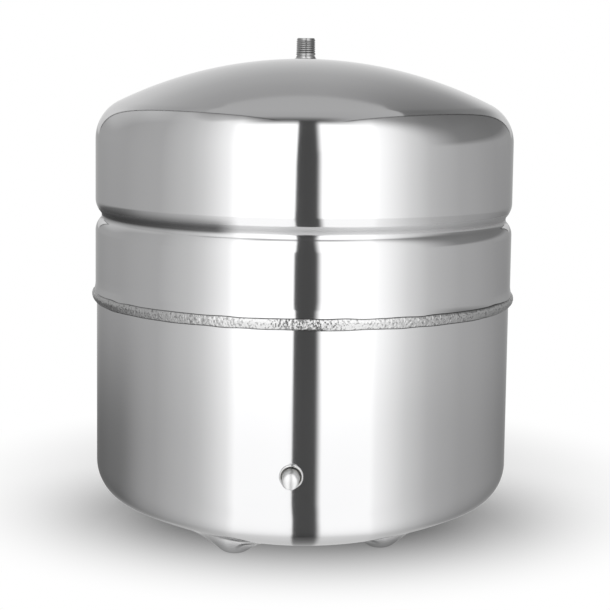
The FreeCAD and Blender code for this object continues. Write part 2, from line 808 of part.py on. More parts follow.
def core_pin():
    """The core's pin, with a collar that the spring pushes and a head behind the washer."""
    head = "pin_head_thickness"
    collar = f"{PIN_COLLAR_BACK} - {PIN_BACK}"
    corners = [
        ("0", "0"),
        ("pin_head_radius", "0"),
        ("pin_head_radius", head),
        ("pin_radius", head),
        ("pin_radius", collar),
        ("pin_collar_radius", collar),
        ("pin_collar_radius", f"{collar} + pin_collar_thickness"),
        ("pin_radius", f"{collar} + pin_collar_thickness"),
        ("pin_radius", f"{STEM_MOUTH} - pin_sink - {PIN_BACK}"),
        ("0", f"{STEM_MOUTH} - pin_sink - {PIN_BACK}"),
    ]
    body = turned_piece("core_pin", corners)
    place_on_valve(body, PIN_BACK)
    return body


def core_washer():
    """The rubber seat washer on the pin, which closes the barrel's end."""
    station = f"{WASHER_FRONT} - seat_washer_thickness"
    bore = "pin_radius + touch_gap"
    thickness = "seat_washer_thickness"
    return flat_ring("core_washer", bore, "seat_washer_radius", thickness, station)


def core_spring():
    """The coil between the barrel's end wall and the pin's collar."""
    body = new_body("core_spring")
    sketch = upright_sketch(body, "core_spring_wire")
    height = size("spring_wire_radius") + size("touch_gap")
    centre = FreeCAD.Vector(size("spring_radius"), height, 0)
    circle = Part.Circle(centre, FreeCAD.Vector(0, 0, 1), size("spring_wire_radius"))
    ring = sketch.addGeometry(circle, False)
    place_point(sketch, ring, 3, "spring_radius", "spring_wire_radius + touch_gap")
    measure(sketch, "Radius", ring, text="spring_wire_radius")
    coil = body.newObject("PartDesign::AdditiveHelix", "core_spring_coil")
    coil.Profile = sketch
    coil.ReferenceAxis = (sketch, ["V_Axis"])
    coil.Mode = 0
    drive(coil, "Pitch", "spring_pitch")
    drive(coil, "Height", "pin_collar_rise - 2 * spring_wire_radius - 2 * touch_gap")
    place_on_valve(body, f"{BARREL_BACK} + barrel_end_thickness")
    return body


def valve_cap():
    """The screw cap: a plain round cap with a rounded end, bored for the stem's thread."""
    length = f"{CAP_END} - {SHOULDER_FRONT} - running_gap"
    floor = f"{CAP_FLOOR} - {SHOULDER_FRONT} - running_gap"
    bore = "stem_thread_radius + fit_gap"
    corners = [
        (bore, "0"),
        ("cap_radius", "0"),
        ("cap_radius", length),
        ("0", length),
        ("0", floor),
        (bore, floor),
    ]
    body = turned_piece("valve_cap", corners)
    doc.recompute()
    end = body.Tip.Shape.BoundBox.ZMax

    def rings_end(edge):
        return edge.BoundBox.ZMin > end - 0.01

    soften(body, "valve_cap_round", "cap_edge_radius", rings_end)
    place_on_valve(body, f"{SHOULDER_FRONT} + running_gap")
    return body


def cap_gasket():
    """The rubber disc in the cap's floor, with a hole for the pin."""
    rim = "stem_thread_radius"
    station = f"{STEM_MOUTH} + running_gap"
    thickness = "cap_gasket_thickness"
    return flat_ring("cap_gasket", "cap_gasket_bore_radius", rim, thickness, station)


MAKERS = [
    upper_shell,
    lower_shell,
    girth_weld,
    water_nipple,
    nipple_weld,
    liner,
    liner_seal,
    diaphragm,
    clench_ring,
    valve_boss,
    valve_stem,
    stem_seal,
    core_swivel,
    core_barrel,
    core_gasket,
    core_pin,
    core_washer,
    core_spring,
    valve_cap,
    cap_gasket,
]
pieces = [make() for make in MAKERS]
doc.recompute()

failed = [thing.Name for thing in doc.Objects if {"Invalid", "Error"} & set(thing.State)]
if failed:
    raise ValueError(f"these did not compute: {failed}")
for piece in pieces:
    if piece.Shape.isNull() or not piece.Shape.isValid():
        raise ValueError(f"{piece.Label} has no valid shape")
for piece in pieces:
    piece.Shape.exportStep(f"parts/{piece.Label}.step")
    print(piece.Label, len(piece.Shape.Solids), round(piece.Shape.Volume, 1))
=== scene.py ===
# %% [markdown]
# # A stainless steel reverse osmosis tank
#
# The tank is two drawn steel heads joined by a weld at mid height. Its walls are smooth
# curves that mirror the studio, so almost everything that is seen on it is a reflection.
# So each shell is worked out here as a fine grid, instead of using the flat facets of the
# construction model: a mirror shows every facet.

import math

import bmesh
import bpy
import numpy as np
from mathutils import Matrix, Vector


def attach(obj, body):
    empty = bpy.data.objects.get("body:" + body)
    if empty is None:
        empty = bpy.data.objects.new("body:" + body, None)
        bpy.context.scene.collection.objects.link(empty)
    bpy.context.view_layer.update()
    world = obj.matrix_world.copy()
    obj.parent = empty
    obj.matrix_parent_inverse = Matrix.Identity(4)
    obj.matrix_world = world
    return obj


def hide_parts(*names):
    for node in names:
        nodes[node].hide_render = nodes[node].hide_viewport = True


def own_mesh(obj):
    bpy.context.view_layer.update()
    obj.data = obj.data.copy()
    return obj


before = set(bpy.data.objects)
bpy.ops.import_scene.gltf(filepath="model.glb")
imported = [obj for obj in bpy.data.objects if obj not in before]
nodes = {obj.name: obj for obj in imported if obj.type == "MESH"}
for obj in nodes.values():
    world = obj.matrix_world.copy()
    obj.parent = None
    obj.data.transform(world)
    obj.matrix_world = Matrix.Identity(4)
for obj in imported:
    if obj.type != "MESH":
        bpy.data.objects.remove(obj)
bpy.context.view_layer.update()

# %% [markdown]
# ## From a grid of numbers to a mesh
#
# Each new piece is one grid of points worked out with numpy, in millimetres. Neighbouring
# points make a quad. The columns go round an axis, so the last meets the first. The rows
# close too where the piece is a wall with a face and a back, like a ring. Points that
# meet, as at a pole, are merged, and the faces are turned outwards afterwards.

# %% A grid becomes a mesh
MM = 0.001
SMOOTH_UNDER = math.radians(38)
MERGE_UNDER = 1e-7


def quads(rows, columns, close_rows):
    """Numbers of each quad's corners: a point, the one below it, the one below and
    beside it, and the one beside it. The last column meets the first."""
    row = np.arange(rows if close_rows else rows - 1)
    here, there = np.meshgrid(row, np.arange(columns), indexing="ij")
    below, beside = (here + 1) % rows, (there + 1) % columns
    corners = (
        here * columns + there,
        below * columns + there,
        below * columns + beside,
        here * columns + beside,
    )
    return np.stack(corners, axis=-1).reshape(-1, 4)


def make_mesh(name, grid, close_rows=True, share=None):
    """A closed mesh in metres from a grid of points in millimetres. A share is a number
    for each point, which a finish can read as an attribute."""
    points = grid.reshape(-1, 3) * MM
    faces = quads(*grid.shape[:2], close_rows)
    mesh = bpy.data.meshes.new(name)
    mesh.vertices.add(len(points))
    mesh.vertices.foreach_set("co", points.astype(np.float32).ravel())
    mesh.loops.add(faces.size)
    mesh.loops.foreach_set("vertex_index", faces.astype(np.int32).ravel())
    mesh.polygons.add(len(faces))
    mesh.polygons.foreach_set("loop_start", np.arange(0, faces.size, 4, dtype=np.int32))
    mesh.update(calc_edges=True)
    if share is not None:
        layer = mesh.attributes.new("share", "FLOAT", "POINT")
        layer.data.foreach_set("value", share.astype(np.float32).ravel())
    shape = bmesh.new()
    shape.from_mesh(mesh)
    bmesh.ops.remove_doubles(shape, verts=shape.verts, dist=MERGE_UNDER)
    bmesh.ops.recalc_face_normals(shape, faces=shape.faces)
    shape.to_mesh(mesh)
    shape.free()
    mesh.polygons.foreach_set("use_smooth", np.ones(len(mesh.polygons), dtype=bool))
    mesh.set_sharp_from_angle(angle=SMOOTH_UNDER)
    return mesh


# %% [markdown]
# A mesh becomes a piece of the tank when it rides on one of the tank's bodies, takes its
# finish from a slot and stands for one node of the construction model, which it hides.

# %% A mesh becomes a piece
def add_object(name, data):
    """Put an object with its data into the scene."""
    made = bpy.data.objects.new(name, data)
    bpy.context.scene.collection.objects.link(made)
    return made


def add_piece(name, grid, body, node, close_rows=True, share=None):
    """Put a grid into the scene as a piece with its body and its node."""
    piece = add_object(name, make_mesh(name, grid, close_rows, share))
    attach(piece, body)
    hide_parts(node)
    print(name, "has", len(piece.data.polygons), "faces")
    return piece


# %% [markdown]
# ## Profiles
#
# A turned or drawn piece is a flat profile of radii and heights, carried round an axis.
# Its arcs and straight runs are joined end to end. The same could be done with a curve
# and a Screw modifier, but a grid of numbers can also be pressed, threaded and wrinkled
# afterwards by a formula.

# %% Arcs, runs and turning
def bend(radius_at, height_at, radius, start, end, count):
    """An arc of a profile round a centre. Angles are in degrees: 0 is outwards, 90 is up."""
    angle = np.radians(np.linspace(start, end, count))
    return np.stack([radius_at + radius * np.cos(angle), height_at + radius * np.sin(angle)], axis=1)


def run(start, end, count=2):
    """Evenly spaced points from one place of a profile to another."""
    return np.linspace(start, end, count)


def chain(*parts):
    """Join the parts of a profile. Each is an arc, or a straight run written as (radius,
    height, radius, height, number of points)."""
    lines = [run(part[:2], part[2:4], part[4]) if isinstance(part, tuple) else part for part in parts]
    return np.concatenate(lines)


def angles_round(count):
    """Evenly spaced angles of one full turn, as a row."""
    return np.arange(count)[None, :] * 2 * np.pi / count


def carried_round(radius, angle, height):
    """Points at a radius, an angle and a height: (r cos a, r sin a, z)."""
    return np.stack([radius * np.cos(angle), radius * np.sin(angle), height + 0 * angle], axis=-1)


def turned(profile, count):
    """Carry a profile round the height axis, in a number of steps."""
    return carried_round(profile[:, 0, None], angles_round(count), profile[:, 1, None])


# %% [markdown]
# ## Where the tank and its valve stand
#
# The frame's origin lies on the floor, under the middle of the whole with its valve cap.
# The cap sticks out at the front, so the tank's own axis lies a little behind the origin.
# The valve's axis runs straight forwards, and its heights count from the shell's face.

# %% Place on the tank or on the valve
AXIS_SHIFT = 6.35
TANK_RADIUS = 140.0
LOWER_RADIUS = 139.1
WALL = 0.8
VALVE_HEIGHT = 75.0


def on_tank(points):
    """Move points from the tank's own axis to where the tank stands in the frame."""
    return points + np.array([0, AXIS_SHIFT, 0])


def on_valve(points):
    """Lay points whose height axis is the valve's on the valve's axis. Their height
    counts outwards from the lower shell's face, and outwards is -Y."""
    x, y, z = np.moveaxis(points, -1, 0)
    return np.stack([x, AXIS_SHIFT - LOWER_RADIUS - z, VALVE_HEIGHT + y], axis=-1)


# %% [markdown]
# ## A drawn head
#
# Both shells are deep drawn from sheet: a shallow crown whose radius is the tank's
# diameter, and a tight knuckle that runs into the straight skirt. Crown and knuckle
# touch where the line through their centres crosses both of them.

# %% The head's arcs
CROWN = 280.0
KNUCKLE = 28.0
CROWN_POINTS, KNUCKLE_POINTS = 60, 30


def knuckle_place(half):
    """For a head of a half width: how far the knuckle's centre is from the axis and over
    the crown's centre, and the angle in degrees at which the crown runs into it."""
    across = half - KNUCKLE
    rise = math.sqrt((CROWN - KNUCKLE) ** 2 - across**2)
    return across, rise, math.degrees(math.acos(across / (CROWN - KNUCKLE)))


def head_arcs(half, depth, hole, fine):
    """A head's crown and knuckle at a depth under its face, about a crown's centre at
    height 0, from the hole to the skirt. Fine is the share of points that is used."""
    across, rise, lean = knuckle_place(half)
    top = 90 - math.degrees(math.asin(hole / (CROWN - depth)))
    crown = bend(0, 0, CROWN - depth, top, lean, int(CROWN_POINTS * fine))
    knuckle = bend(across, rise, KNUCKLE - depth, lean, 0, int(KNUCKLE_POINTS * fine))
    return np.concatenate([crown, knuckle[1:]])


print("knuckle starts", round(90 - knuckle_place(TANK_RADIUS)[2], 1), "degrees off the axis")

# %% [markdown]
# ## The clench groove
#
# A roller presses a groove into the upper shell and so clamps the liner and the diaphragm
# against a hoop behind it. Its section is three arcs: a bend inwards, a small valley and a
# bend outwards again. A real roller leaves no straight part between them, and three arcs
# that touch need no fillets.

# %% The groove's arcs
GROOVE_HEIGHT = 223.7
GROOVE_DEPTH = 4.1
VALLEY, UPPER_BEND, LOWER_BEND = 4.0, 13.0, 11.0
BEND_POINTS = 26


def groove_arcs(depth, fine):
    """The groove's three arcs at a depth under the shell's face, from above downwards.
    Two arcs meet where the line through their centres crosses both of them."""
    centre = TANK_RADIUS - GROOVE_DEPTH + VALLEY
    count = int(BEND_POINTS * fine)
    slopes, rises = [], []
    for radius in (UPPER_BEND, LOWER_BEND):
        slope = math.acos(1 - GROOVE_DEPTH / (radius + VALLEY))
        slopes.append(math.degrees(slope))
        rises.append((radius + VALLEY) * math.sin(slope))
    over, under = GROOVE_HEIGHT + rises[0], GROOVE_HEIGHT - rises[1]
    upper = bend(TANK_RADIUS - UPPER_BEND, over, UPPER_BEND - depth, 0, -slopes[0], count)
    valley = bend(centre, GROOVE_HEIGHT, VALLEY + depth, 180 - slopes[0], 180 + slopes[1], count)
    lower = bend(TANK_RADIUS - LOWER_BEND, under, LOWER_BEND - depth, slopes[1], 0, count)
    print("groove at depth", depth, "from height", round(over, 1), "to", round(under, 1))
    return np.concatenate([upper, valley[1:], lower[1:]])


# %% [markdown]
# ## The upper shell
#
# Dome, skirt and groove, with the lower edge flared over the other shell. The back of the
# sheet is the same chain of arcs with every radius changed by the wall, so the sheet is
# equally thick everywhere. It is seen by nobody and gets half as many points.

# %% Turn the upper shell
DOME_HEIGHT = 328.7
NIPPLE_HOLE = 7.0
SKIRT_END = 170.6
FLARE_LENGTH, FLARE_OUT = 8.0, 1.8
FLARE_POINTS, STRAIGHT_POINTS = 10, 8
AROUND = 288
BACK_SHARE = 0.5


def upper_line(depth, fine):
    """The upper shell's profile at a depth under its face, from the nipple's hole down."""
    head = head_arcs(TANK_RADIUS, depth, NIPPLE_HOLE, fine)
    head[:, 1] += DOME_HEIGHT - CROWN
    groove = groove_arcs(depth, fine)
    wall = TANK_RADIUS - depth
    share = np.linspace(0, 1, int(FLARE_POINTS * fine))
    start = SKIRT_END + FLARE_LENGTH
    flare = np.stack([wall + FLARE_OUT * share**1.6, start - FLARE_LENGTH * share], axis=1)
    above = run(head[-1], groove[0], int(STRAIGHT_POINTS * fine))[1:-1]
    below = run(groove[-1], flare[0], int(STRAIGHT_POINTS * fine))[1:-1]
    return np.concatenate([head, above, groove, below, flare])


upper_ring = np.concatenate([upper_line(0, 1.0), upper_line(WALL, BACK_SHARE)[::-1]])
upper_grid = on_tank(turned(upper_ring, AROUND))
upper_shell = add_piece("upper_shell_drawn", upper_grid, "tank", "upper_shell")

# %% [markdown]
# ## The lower shell
#
# The same head upside down, a little narrower, so that its rim slips into the upper
# skirt. The rows lie closest where the feet are pressed in.

# %% The bowl's profile
BOWL_CLEARANCE = 4.1
SHELL_TOP = 183.4
FEET_FROM, FEET_TO = 30, 92


def lower_line():
    """The lower shell's outer profile, from the middle of the bowl out and up to its rim.
    The bowl's height at radius r is the crown's radius R less the root of (R*R - r*r)."""
    across, rise, lean = knuckle_place(LOWER_RADIUS)
    inner, feet = np.linspace(0, FEET_FROM, 10), np.linspace(FEET_FROM + 1.2, FEET_TO, 52)
    outer = np.linspace(FEET_TO + 2, CROWN * math.cos(math.radians(lean)), 12)
    radius = np.concatenate([inner, feet, outer])
    bowl = np.stack([radius, CROWN - np.sqrt(CROWN**2 - radius**2)], axis=1)
    knuckle = bend(across, CROWN - rise, KNUCKLE, -lean, 0, 26)
    line = np.concatenate([bowl, knuckle[1:]])
    line[:, 1] += BOWL_CLEARANCE
    return np.concatenate([line, run(line[-1], [LOWER_RADIUS, SHELL_TOP], 16)[1:]])


face = turned(lower_line(), AROUND)
print("bowl's lowest point:", float(face[..., 2].min()), "mm")

# %% [markdown]
# ## The pressed feet
#
# Three feet are pressed into the bowl near its middle. A foot is a cone that ends in a
# small flat. Instead of cutting and joining solids, the height of the sheet's face is the
# lower of two heights at every point, the bowl's and the nearest foot's, with the corner
# between them rounded off by a smooth minimum. That gives the soft run-out of pressed
# sheet, which fillets on a cone only come near.

# %% Press the feet
FOOT_CIRCLE, FOOT_TURN, FOOT_COUNT = 58.0, 103.3, 3
FOOT_FLAT, FOOT_SLOPE = 7.2, 1.05
FOOT_EDGE_SOFT, FOOT_BLEND_SOFT = 3.6, 13.0
FEET_WITHIN = 96


def smooth_minimum(a, b, reach):
    """The lower of two heights. Where they differ by less than the reach, their corner
    is cut by a parabola whose depth is a quarter of the reach."""
    near = np.maximum(reach - np.abs(a - b), 0) / reach
    return np.minimum(a, b) - near * near * reach / 4


def foot_height(x, y):
    """Height of the nearest foot's cone over the floor: flat inside, then a steady slope."""
    height = np.full(x.shape, np.inf)
    for n in range(FOOT_COUNT):
        turn = math.radians(FOOT_TURN + n * 360 / FOOT_COUNT)
        away = np.hypot(x - FOOT_CIRCLE * math.cos(turn), y - FOOT_CIRCLE * math.sin(turn))
        cone = FOOT_SLOPE * (away - FOOT_FLAT)
        height = np.minimum(height, -smooth_minimum(-cone, 0 * cone, FOOT_EDGE_SOFT))
    return height


x, y, bowl_height = np.moveaxis(face, -1, 0)
lowered = smooth_minimum(bowl_height, foot_height(x, y), FOOT_BLEND_SOFT)
face[..., 2] = np.where(np.hypot(x, y) < FEET_WITHIN, np.maximum(lowered, 0), bowl_height)
print("feet reach down to", round(float(face[..., 2].min()), 3), "mm")

# %% [markdown]
# The sheet gets its wall by a step inwards along its own normals, which keeps it equally
# thick in the feet too. A Solidify modifier does the same, but the grid already knows its
# neighbours, so two lines of numpy are enough.

# %% Give the face its wall
SHORTEST = 1e-9


def outward(points):
    """Unit normals of a turned face whose columns close: the cross product of the steps
    along and across the grid. The middle point of the bowl looks straight down."""
    along = np.gradient(points, axis=0)
    across = np.roll(points, -1, axis=1) - np.roll(points, 1, axis=1)
    normal = np.cross(across, along)
    length = np.linalg.norm(normal, axis=-1, keepdims=True)
    normal = normal / np.maximum(length, SHORTEST)
    normal[0] = (0, 0, -1)
    return normal


back = face - WALL * outward(face)
lower_grid = on_tank(np.concatenate([face, back[::-1]]))
lower_shell = add_piece("lower_shell_pressed", lower_grid, "tank", "lower_shell", False)

# %% [markdown]
# The air valve goes through a round hole in the wall. A hole across a grid is easiest to
# cut with a plain round cutter and a Boolean modifier, whose result is then kept.

# %% Cut the valve's hole
HOLE_RADIUS, CUTTER_REACH, CUTTER_SIDES = 6.5, 8.0, 64
cutter_line = chain(
    (0, -CUTTER_REACH, HOLE_RADIUS, -CUTTER_REACH, 2),
    (HOLE_RADIUS, CUTTER_REACH, 0, CUTTER_REACH, 2),
)
cutter_grid = on_valve(turned(cutter_line, CUTTER_SIDES))
cutter = add_object("cutter", make_mesh("cutter", cutter_grid, False))
cut = lower_shell.modifiers.new("hole", "BOOLEAN")
cut.operation, cut.object, cut.solver = "DIFFERENCE", cutter, "EXACT"
cut_shell = lower_shell.evaluated_get(bpy.context.evaluated_depsgraph_get())
cut_mesh = bpy.data.meshes.new_from_object(cut_shell)
lower_shell.modifiers.clear()
lower_shell.data = cut_mesh
cut_mesh.set_sharp_from_angle(angle=SMOOTH_UNDER)
bpy.data.objects.remove(cutter)
print("faces after the cut:", len(cut_mesh.polygons))

# %% [markdown]
# ## Wrinkles of a weld
#
# A weld is laid wet and freezes in small wrinkles. They could be a displacement texture,
# but the bead is a grid already, so its skin is simply pushed in and out by random
# heights. The heights are values on a coarse grid, made smooth between the grid's points,
# and they repeat after one turn, so there is no seam.

# %% Smooth random heights
random = np.random.default_rng(41)


def soft_noise(rows, columns, across, around):
    """Random heights from about -1 to 1 on a grid that closes in its columns. Values on
    a coarse grid are blended with a cosine weight between neighbouring points."""
    coarse = random.uniform(-1, 1, (across + 2, around))
    v = np.linspace(0, across, rows)[:, None]
    u = np.arange(columns)[None, :] * around / columns
    row, column = np.floor(v).astype(int), np.floor(u).astype(int)
    down, side = (1 - np.cos(np.pi * (v - row))) / 2, (1 - np.cos(np.pi * (u - column))) / 2
    beside = (column + 1) % around
    upper = coarse[row, column] * (1 - side) + coarse[row, beside] * side
    lower = coarse[row + 1, column] * (1 - side) + coarse[row + 1, beside] * side
    return upper * (1 - down) + lower * down


# %% [markdown]
# ## The girth weld
#
# The bead lies in the corner under the flared edge and closes the joint of the two
# shells. Its section is a low bulge with a flat back that sits in both sheets. How far a
# point lies up the bead is kept with the mesh, for the dark edges of its finish, which are
# partly burnt colour and partly painted shade.

# %% Lay the bead
BEAD_FOOT, BEAD_HEAD = np.array([139.12, 165.7]), np.array([140.95, 173.3])
BEAD_BACK = np.array([[140.5, 172.6], [139.9, 170.4], [138.9, 169.5], [138.9, 166.4]])
BEAD_BULGE = 2.0
FINE_WRINKLE, COARSE_WRINKLE, EDGE_WANDER = 0.13, 0.12, 0.34
BEAD_ROWS, BEAD_COLUMNS = 21, 3240


def bead():
    """The bead's skin and back as a closed ring. A share t runs up the skin: the point
    lies on the line from foot to head, pushed out by the bulge times a power of
    sin(pi t), and by wrinkles that fade to nothing at both edges."""
    t = np.linspace(0, 1, BEAD_ROWS)[:, None]
    arch = np.sin(np.pi * t)
    wrinkles = FINE_WRINKLE * soft_noise(BEAD_ROWS, BEAD_COLUMNS, 8, 980)
    wrinkles = wrinkles + COARSE_WRINKLE * soft_noise(BEAD_ROWS, BEAD_COLUMNS, 3, 260)
    wander = EDGE_WANDER * soft_noise(BEAD_ROWS, BEAD_COLUMNS, 1, 70)
    line = BEAD_FOOT + (BEAD_HEAD - BEAD_FOOT) * t
    radius = line[:, 0, None] + BEAD_BULGE * arch**0.6 + wrinkles * arch**0.5
    height = line[:, 1, None] + wander * (1 - 0.6 * arch)
    skin = carried_round(radius, angles_round(BEAD_COLUMNS), height)
    return np.concatenate([skin, turned(BEAD_BACK, BEAD_COLUMNS)])


bead_ring = bead()
up_the_bead = np.zeros(bead_ring.shape[:2])
up_the_bead[:BEAD_ROWS] = np.linspace(0, 1, BEAD_ROWS)[:, None]
weld = add_piece("girth_weld_bead", on_tank(bead_ring), "tank", "girth_weld", share=up_the_bead)

# %% [markdown]
# ## Threads
#
# A thread is a groove on a helix: at height z and angle a, the cut's phase is z over the
# pitch less a over a full turn. A triangle wave of that phase gives the flanks, and
# clipping it leaves the narrow flats on the crests and in the roots. So the turned grid
# only has to be pulled in by the cut's depth, with no boolean and no helix curve.

# %% Thread on a turned face
FLANK_STEEP, CREST_FLAT = 1.5, 0.42


def thread_cut(height, angle, pitch, depth, start, end, fade):
    """Depth of a thread's cut at each height and angle. It is 0 on the crests and runs
    out over a short length at each end."""
    phase = (height / pitch - angle / (2 * np.pi)) % 1
    flank = np.clip(FLANK_STEEP * np.abs(2 * phase - 1) - CREST_FLAT, 0, 1)
    ends = np.clip((height - start) / fade, 0, 1) * np.clip((end - height) / fade, 0, 1)
    return depth * flank * ends


def threaded(profile, count, pitch, depth, start, end, least, fade):
    """Turn a profile and cut a thread into the part of it between two heights, where its
    radius is over the least one."""
    grid, angle = turned(profile, count), angles_round(count)
    height, radius = grid[..., 2], profile[:, 0, None] + 0 * angle
    cut = thread_cut(height, angle, pitch, depth, start, end, fade)
    cut = np.where((radius > least) & (height > start) & (height < end), cut, 0)
    scale = (radius - cut) / np.maximum(radius, SHORTEST)
    return grid * np.stack([scale, scale, np.ones_like(scale)], axis=-1)


# %% [markdown]
# ## The water nipple
#
# Turned from bar: a flange inside the dome with a groove for its seal, a plain collar, a
# tapered pipe thread and a bored way for the water. It is one turned profile, and the
# formula above cuts its thread.

# %% Turn the nipple
FLANGE_BACK = DOME_HEIGHT - 5.35
FLANGE_FACE = FLANGE_BACK + 2.5
BORE, FLANGE, NECK = 3.75, 13.0, 6.9
SEAL_INSIDE, SEAL_OUTSIDE, SEAL_DEPTH = 8.0, 10.6, 1.6
RELIEF = 5.85
NIPPLE_PITCH, NIPPLE_CUT = 1.411, 0.62
APEX = DOME_HEIGHT
nipple_line = chain(
    (BORE, FLANGE_BACK, FLANGE, FLANGE_BACK, 6),
    (FLANGE, FLANGE_BACK + 0.2, FLANGE, FLANGE_FACE, 3),
    (FLANGE - 0.2, FLANGE_FACE, SEAL_OUTSIDE, FLANGE_FACE, 3),
    (SEAL_OUTSIDE, FLANGE_FACE - SEAL_DEPTH, SEAL_INSIDE, FLANGE_FACE - SEAL_DEPTH, 3),
    (SEAL_INSIDE, FLANGE_FACE, NECK, FLANGE_FACE, 2),
    (NECK, FLANGE_FACE + 0.1, NECK, APEX + 0.15, 6),
    (6.6, APEX + 0.5, 6.35, APEX + 1.3, 4),
    (6.3, APEX + 1.5, 6.28, APEX + 1.75, 2),
    (RELIEF, APEX + 1.9, RELIEF, APEX + 2.35, 3),
    (6.4, APEX + 2.5, 6.42, APEX + 3.1, 3),
    (6.40, APEX + 3.2, 6.26, APEX + 12.2, 116),
    (6.22, APEX + 12.25, 5.65, APEX + 13.55, 5),
    (5.5, APEX + 13.7, 4.3, APEX + 13.7, 3),
    (4.1, APEX + 13.62, BORE, APEX + 13.2, 3),
    (BORE, APEX + 12.0, BORE, FLANGE_BACK + 0.2, 8),
)
nipple_grid = threaded(nipple_line, 120, NIPPLE_PITCH, NIPPLE_CUT, APEX + 3.1, APEX + 12.9, 5.6, 0.8)
nipple = add_piece("water_nipple_threaded", on_tank(nipple_grid), "tank", "water_nipple")

# %% [markdown]
# The weld that holds the nipple is a small uneven fillet on the dome. Its reach is
# changed by the same kind of random heights as the bead's. The photograph's dome doesn't
# mirror the nipple, so the nipple and its weld are left out of reflections.

# %% The nipple's weld
FILLET_HEEL, FILLET_REACH, FILLET_RISE = 6.55, 1.0, 0.9
FILLET_ROWS, FILLET_COLUMNS = 9, 240


def fillet_ring():
    """A quarter-round ring against the collar, a hollow curve from the dome up to the
    collar, with its reach changed by slow random heights round the turn."""
    share = np.linspace(0, 1, FILLET_ROWS)[:, None]
    slow = soft_noise(FILLET_ROWS, FILLET_COLUMNS, 1, 22)
    quick = soft_noise(FILLET_ROWS, FILLET_COLUMNS, 3, 60)
    swell = 1 + 0.22 * slow + 0.1 * quick
    radius = FILLET_HEEL + FILLET_REACH * (1 - share) ** 1.6 * swell
    dome = APEX - radius**2 / (2 * CROWN)
    height = dome - 0.02 + FILLET_RISE * share**1.4 * swell
    skin = carried_round(radius, angles_round(FILLET_COLUMNS), height)
    return np.concatenate([skin, turned(np.array([[FILLET_HEEL, APEX - 0.12]]), FILLET_COLUMNS)])


nipple_weld = add_piece("nipple_weld_fillet", on_tank(fillet_ring()), "tank", "nipple_weld")
nipple.visible_glossy = nipple_weld.visible_glossy = False

# %% [markdown]
# ## The air valve's boss
#
# Low on the front, a round boss is welded into the shell. Its face is a ring with a
# rounded rim round a shallow seat for the valve. It is a turned part, so it is a profile
# carried round the valve's axis.

# %% Turn the boss
BOSS_BORE, BOSS_BODY, BOSS_DEPTH, BOSS_SEAT = 4.25, 6.4, 7.0, 0.2
boss_line = chain(
    (BOSS_BORE, -BOSS_DEPTH, BOSS_BODY, -BOSS_DEPTH, 3),
    (BOSS_BODY, 0.2 - BOSS_DEPTH, BOSS_BODY, 0.0, 4),
    (7.15, 0.02, 7.3, 0.05, 2),
    bend(7.0, 0.75, 0.5, -40, 20, 5),
    bend(6.85, 0.95, 0.65, 20, 120, 10)[1:],
    (6.3, 1.35, 6.02, 1.0, 3),
    (6.0, 0.9, 6.0, 0.25, 3),
    (5.9, BOSS_SEAT, BOSS_BORE, BOSS_SEAT, 4),
    (BOSS_BORE, 0.1, BOSS_BORE, 0.2 - BOSS_DEPTH, 4),
)
boss_grid = on_valve(turned(boss_line, 120))
boss = add_piece("valve_boss_ring", boss_grid, "tank", "valve_boss")

# %% [markdown]
# ## The valve stem
#
# A tube with a shoulder, screwed and soldered into the boss. Its outer thread carries the
# cap, and its bore steps down behind the mouth, where the valve core is screwed in. It is
# made like the nipple.

# %% Turn the stem
STEM_BACK, SHOULDER, SHOULDER_FRONT, MOUTH = -9.0, 1.2, 3.0, 13.2
STEM_WAY, CORE_WAY, STEM_BODY, CREST, SHOULDER_EDGE = 2.15, 2.65, 4.15, 3.85, 5.4
STEM_PITCH, STEM_CUT = 0.794, 0.42
stem_line = chain(
    (STEM_WAY, STEM_BACK, STEM_BODY, STEM_BACK, 3),
    (STEM_BODY, STEM_BACK + 0.1, STEM_BODY, SHOULDER, 5),
    (SHOULDER_EDGE - 0.1, SHOULDER, SHOULDER_EDGE, SHOULDER + 0.1, 2),
    (SHOULDER_EDGE, SHOULDER_FRONT - 0.1, SHOULDER_EDGE - 0.1, SHOULDER_FRONT, 2),
    (CREST + 0.05, SHOULDER_FRONT, CREST, SHOULDER_FRONT + 0.05, 2),
    (CREST, SHOULDER_FRONT + 0.15, CREST, MOUTH - 0.6, 110),
    (CREST - 0.05, MOUTH - 0.5, 3.3, MOUTH, 4),
    (3.2, MOUTH, CORE_WAY, MOUTH, 2),
    (CORE_WAY, MOUTH - 0.1, CORE_WAY, MOUTH - 6.5, 4),
    (STEM_WAY, MOUTH - 8.0, STEM_WAY, STEM_BACK + 0.1, 4),
)
thread_start, thread_end = SHOULDER_FRONT + 0.1, MOUTH - 0.2
stem_grid = on_valve(threaded(stem_line, 96, STEM_PITCH, STEM_CUT, thread_start, thread_end, 3.4, 0.5))
stem = add_piece("valve_stem_threaded", stem_grid, "tank", "valve_stem")

# %% [markdown]
# ## The screw cap
#
# A small round cap with a domed end and a rounded rim, bored for the stem's thread. Rim
# and end are arcs of its profile, so it needs no bevel. It rides on a body of its own,
# because it unscrews.

